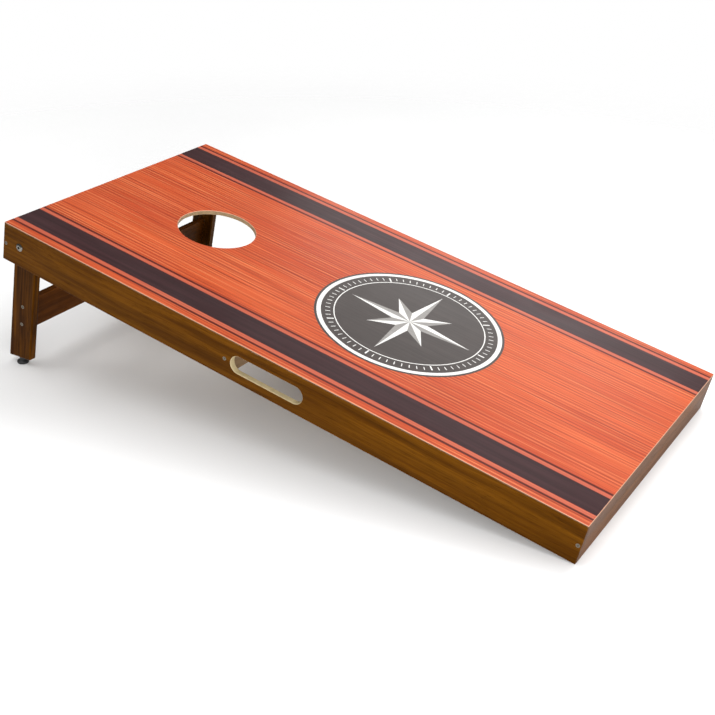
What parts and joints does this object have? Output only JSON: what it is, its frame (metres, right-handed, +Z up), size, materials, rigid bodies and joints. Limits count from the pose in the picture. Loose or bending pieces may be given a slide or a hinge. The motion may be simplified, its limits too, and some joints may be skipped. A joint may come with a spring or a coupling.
{
  "type": "cornhole board",
  "caption": "Folding cornhole board: a printed deck with a round bag hole on a shallow rail frame, with hand slots and a fold-away leg frame on screw-in feet.",
  "frame": {"origin": "on the floor, in the middle of the rectangle that the standing board takes up", "axes": "+Z up, +Y from the low front edge to the high rear end with the hole, +X to the right seen from the front"},
  "size_m": [0.6048, 1.2214, 0.3042],
  "materials": {
    "printed_surface": "glossy lacquer over a printed orange-red wood grain with dark stripes",
    "deck_board": "raw fibreboard",
    "frame_wood": "satin walnut-grain foil, bare fibreboard on cut edges",
    "leg_wood": "satin dark walnut-grain foil",
    "screw_steel": "zinc plated",
    "hardware_steel": "zinc plated",
    "spacer_nylon": "natural nylon",
    "foot_plastic": "fine-textured black moulding"
  },
  "bodies": {
    "board": {"playing_surface": "printed_surface", "deck_panel": "deck_board", "front_rail": "frame_wood", "rear_rail": "frame_wood", "side_rail_left": "frame_wood", "side_rail_right": "frame_wood", "centre_brace": "frame_wood", "corner_screws": "screw_steel", "brace_screws": "screw_steel", "pivot_bolt_left": "hardware_steel", "pivot_spacer_left": "spacer_nylon", "nut_washer_left": "hardware_steel", "lock_nut_left": "hardware_steel", "pivot_bolt_right": "hardware_steel", "pivot_spacer_right": "spacer_nylon", "nut_washer_right": "hardware_steel", "lock_nut_right": "hardware_steel"},
    "leg_frame": {"leg_left": "leg_wood", "leg_right": "leg_wood", "leg_crossbar": "leg_wood", "crossbar_screws": "screw_steel", "foot_insert_left": "hardware_steel", "foot_insert_right": "hardware_steel"},
    "foot_left": {"foot_stem_left": "hardware_steel", "foot_pad_left": "foot_plastic"},
    "foot_right": {"foot_stem_right": "hardware_steel", "foot_pad_right": "foot_plastic"}
  },
  "joints": [
    {"name": "leg_fold", "type": "hinge", "parent": "board", "child": "leg_frame", "pos_m": [0, 0.53483, 0.26043], "axis": [-1, 0, 0], "range_deg": [0, 90]},
    {"name": "foot_left_height", "type": "slide", "parent": "leg_frame", "child": "foot_left", "axis": [0, 0, -1], "range_m": [0, 0.01]},
    {"name": "foot_right_height", "type": "slide", "parent": "leg_frame", "child": "foot_right", "axis": [0, 0, -1], "range_m": [0, 0.01]}
  ]
}
